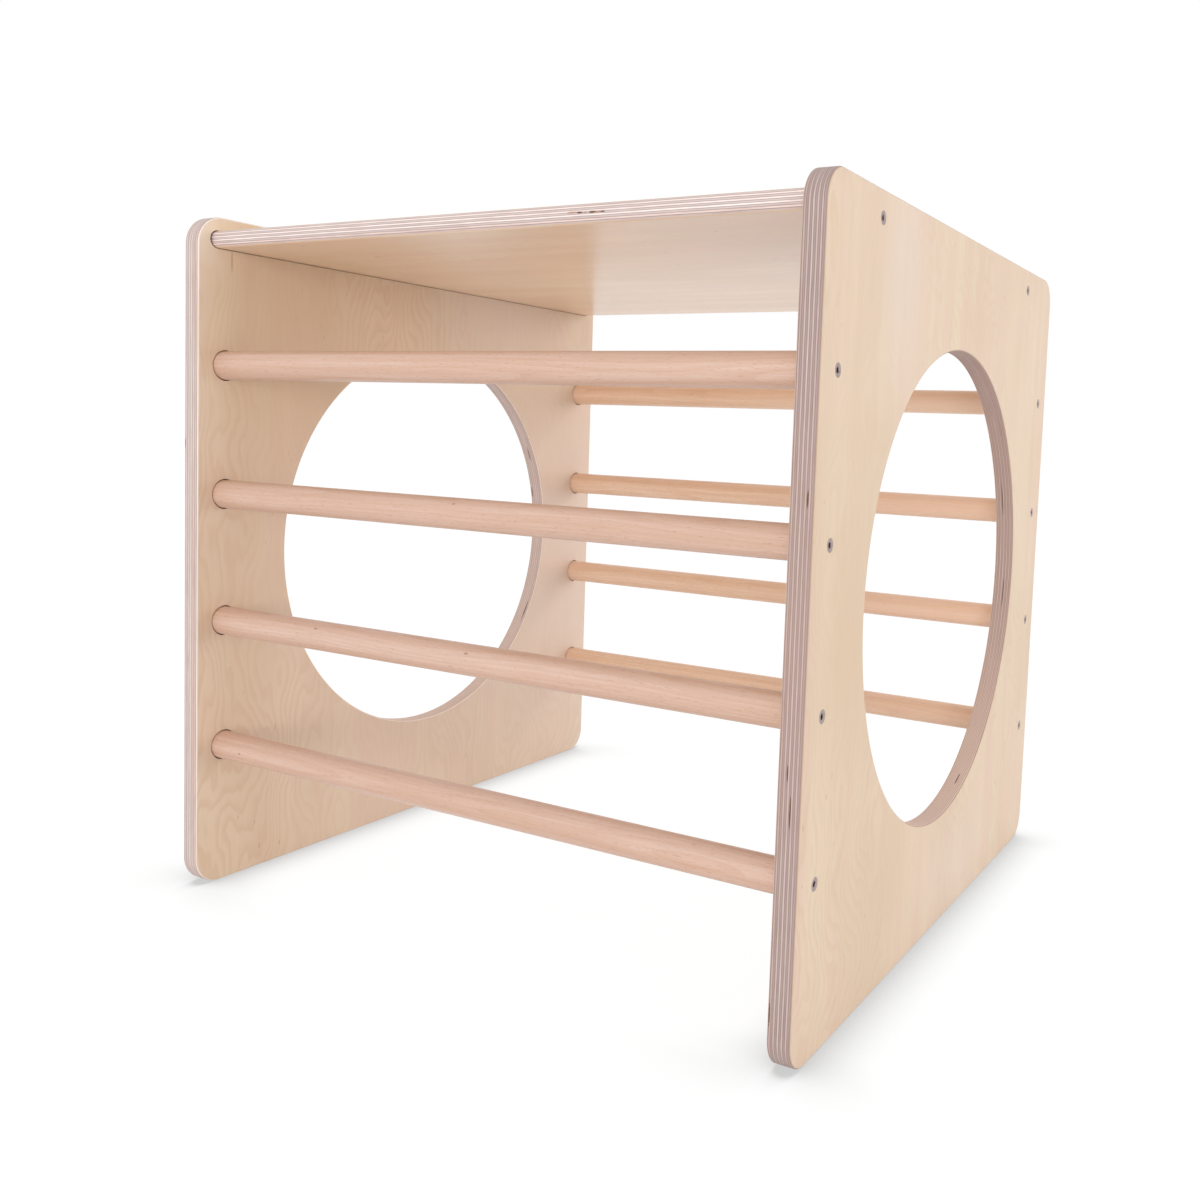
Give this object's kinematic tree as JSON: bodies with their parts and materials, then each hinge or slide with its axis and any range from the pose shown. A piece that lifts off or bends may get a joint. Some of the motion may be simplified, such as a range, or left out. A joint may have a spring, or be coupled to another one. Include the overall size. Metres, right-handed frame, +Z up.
{
  "type": "wooden climbing cube",
  "caption": "Open cube of birch plywood side panels with round climb-through holes, beech rungs front and back and a plywood top board.",
  "frame": {"origin": "on the floor, under the middle of the cube", "axes": "+X right along the rungs, +Y to the back, +Z up"},
  "size_m": [0.6, 0.592, 0.592],
  "materials": {
    "panel_plywood": "sanded birch plywood, clear matt oil, grain upright",
    "board_plywood": "sanded birch plywood, clear matt oil, grain along the rungs",
    "beech": "turned beech, clear satin oil",
    "screw_steel": "zinc-plated steel, dull"
  },
  "bodies": {
    "root": {"side_panel_left": "panel_plywood", "side_panel_right": "panel_plywood", "top_board": "board_plywood", "front_rung_1": "beech", "front_rung_2": "beech", "front_rung_3": "beech", "front_rung_4": "beech", "back_rung_1": "beech", "back_rung_2": "beech", "back_rung_3": "beech", "back_rung_4": "beech", "left_front_rung_screws": "screw_steel", "left_back_rung_screws": "screw_steel", "left_board_screws": "screw_steel", "right_front_rung_screws": "screw_steel", "right_back_rung_screws": "screw_steel", "right_board_screws": "screw_steel"}
  },
  "joints": []
}
